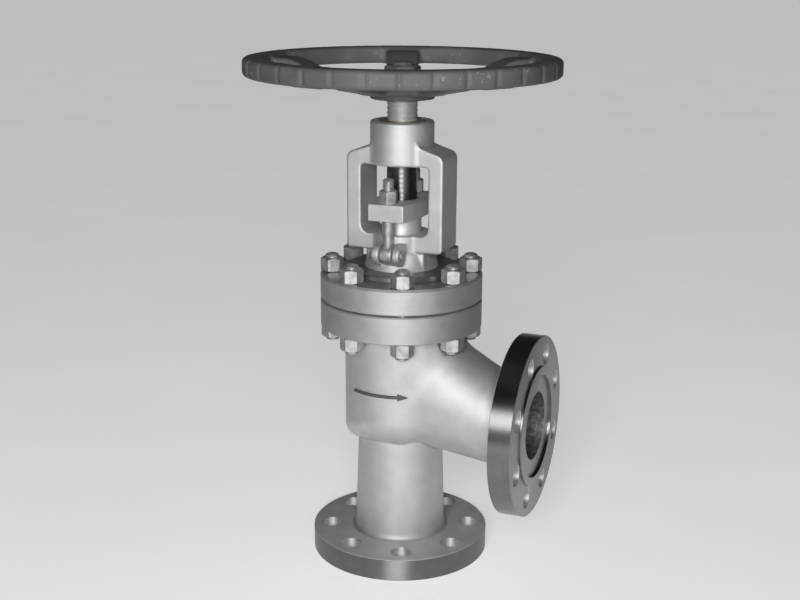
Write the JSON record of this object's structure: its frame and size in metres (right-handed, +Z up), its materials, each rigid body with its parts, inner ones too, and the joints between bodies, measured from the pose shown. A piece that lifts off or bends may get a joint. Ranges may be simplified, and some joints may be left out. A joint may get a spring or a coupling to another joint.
{
  "type": "angle globe valve",
  "caption": "Angle-pattern globe valve with flanged inlet and outlet at right angles, bolted bonnet with open yoke, rising screw stem and a dished handwheel.",
  "frame": {"origin": "centre of the inlet flange's raised face, where the valve stands, on the stem axis", "axes": "+Z up along the stem axis, +X along the outlet axis towards the outlet face, +Y completes the frame"},
  "size_m": [0.45, 0.45, 0.7475],
  "materials": {
    "cast_steel_paint": "satin silver-grey paint on sand-cast steel, flange rims turned bright",
    "machined_steel": "turned",
    "stem_steel": "ground and threaded, lightly greased",
    "fastener_steel": "plain zinc-grey",
    "bronze": "turned bronze",
    "graphite": "pressed graphite",
    "wheel_paint": "matte dark grey paint on cast iron"
  },
  "bodies": {
    "housing": {"valve_body": "cast_steel_paint", "seat_ring": "machined_steel", "backseat_bush": "machined_steel", "bonnet": "cast_steel_paint", "bonnet_gasket": "graphite", "bonnet_studs": "fastener_steel", "bonnet_nuts_upper": "fastener_steel", "bonnet_nuts_lower": "fastener_steel", "packing_washer": "machined_steel", "packing_rings": "graphite", "gland_bush": "machined_steel", "gland_flange": "cast_steel_paint", "gland_eyebolts": "fastener_steel", "eyebolt_pins": "fastener_steel", "gland_nuts": "fastener_steel", "stem_nut": "bronze", "stem_nut_screw": "fastener_steel"},
    "disc_group": {"disc": "machined_steel", "disc_nut": "machined_steel"},
    "stem_group": {"stem": "stem_steel", "disc_split_ring": "machined_steel", "handwheel": "wheel_paint", "handwheel_key": "fastener_steel", "handwheel_washer": "fastener_steel", "handwheel_nut": "fastener_steel"}
  },
  "joints": [
    {"name": "disc_lift", "type": "slide", "parent": "housing", "child": "disc_group", "axis": [0, 0, 1], "range_m": [0, 0.0281]},
    {"name": "handwheel_turn", "type": "hinge", "parent": "disc_group", "child": "stem_group", "pos_m": [0, 0, 0.7], "axis": [0, 0, 1], "range_deg": [0, 1440]}
  ],
  "couplings": [
    {"joint": "disc_lift", "follows": "handwheel_turn", "m_per_rad": 0.0011141}
  ]
}
